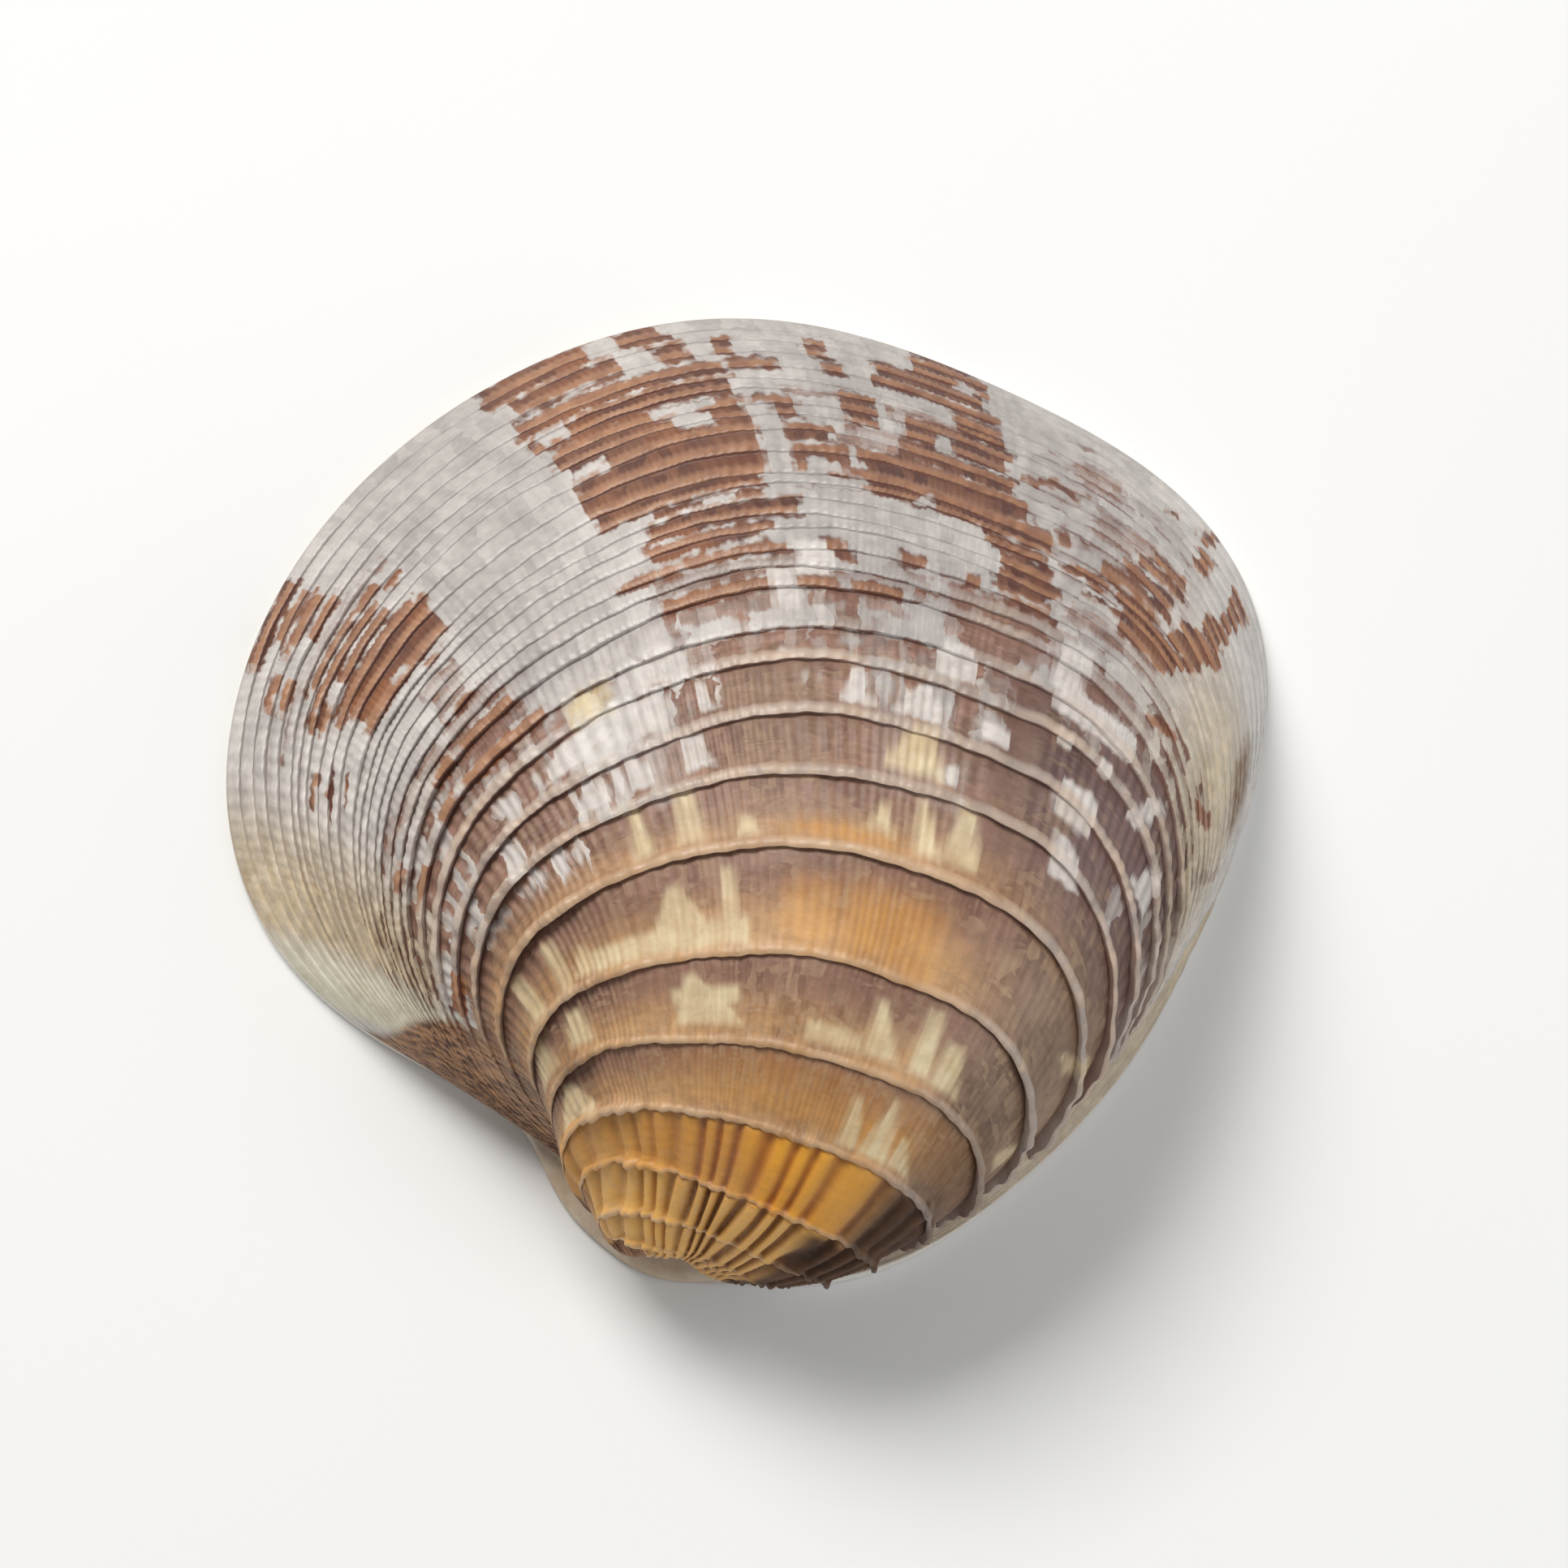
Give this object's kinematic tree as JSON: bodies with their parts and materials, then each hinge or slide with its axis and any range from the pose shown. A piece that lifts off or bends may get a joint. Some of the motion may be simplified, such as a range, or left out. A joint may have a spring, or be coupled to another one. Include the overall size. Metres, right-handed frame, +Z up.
{
  "type": "venus clam shell",
  "caption": "One valve of a venus clam shell, ridged along its growth lines and hollow beneath, lying on its rim.",
  "frame": {"origin": "under the middle of the valve, on the flat plane of its rim", "axes": "+X towards the tail end, -X towards the head end, -Y towards the beak and hinge, +Z up towards the crown"},
  "size_m": [0.048, 0.0478, 0.0169],
  "materials": {
    "shell": "satin, ridged, cream with brown and orange markings"
  },
  "bodies": {
    "root": {"valve": "shell"}
  },
  "joints": []
}
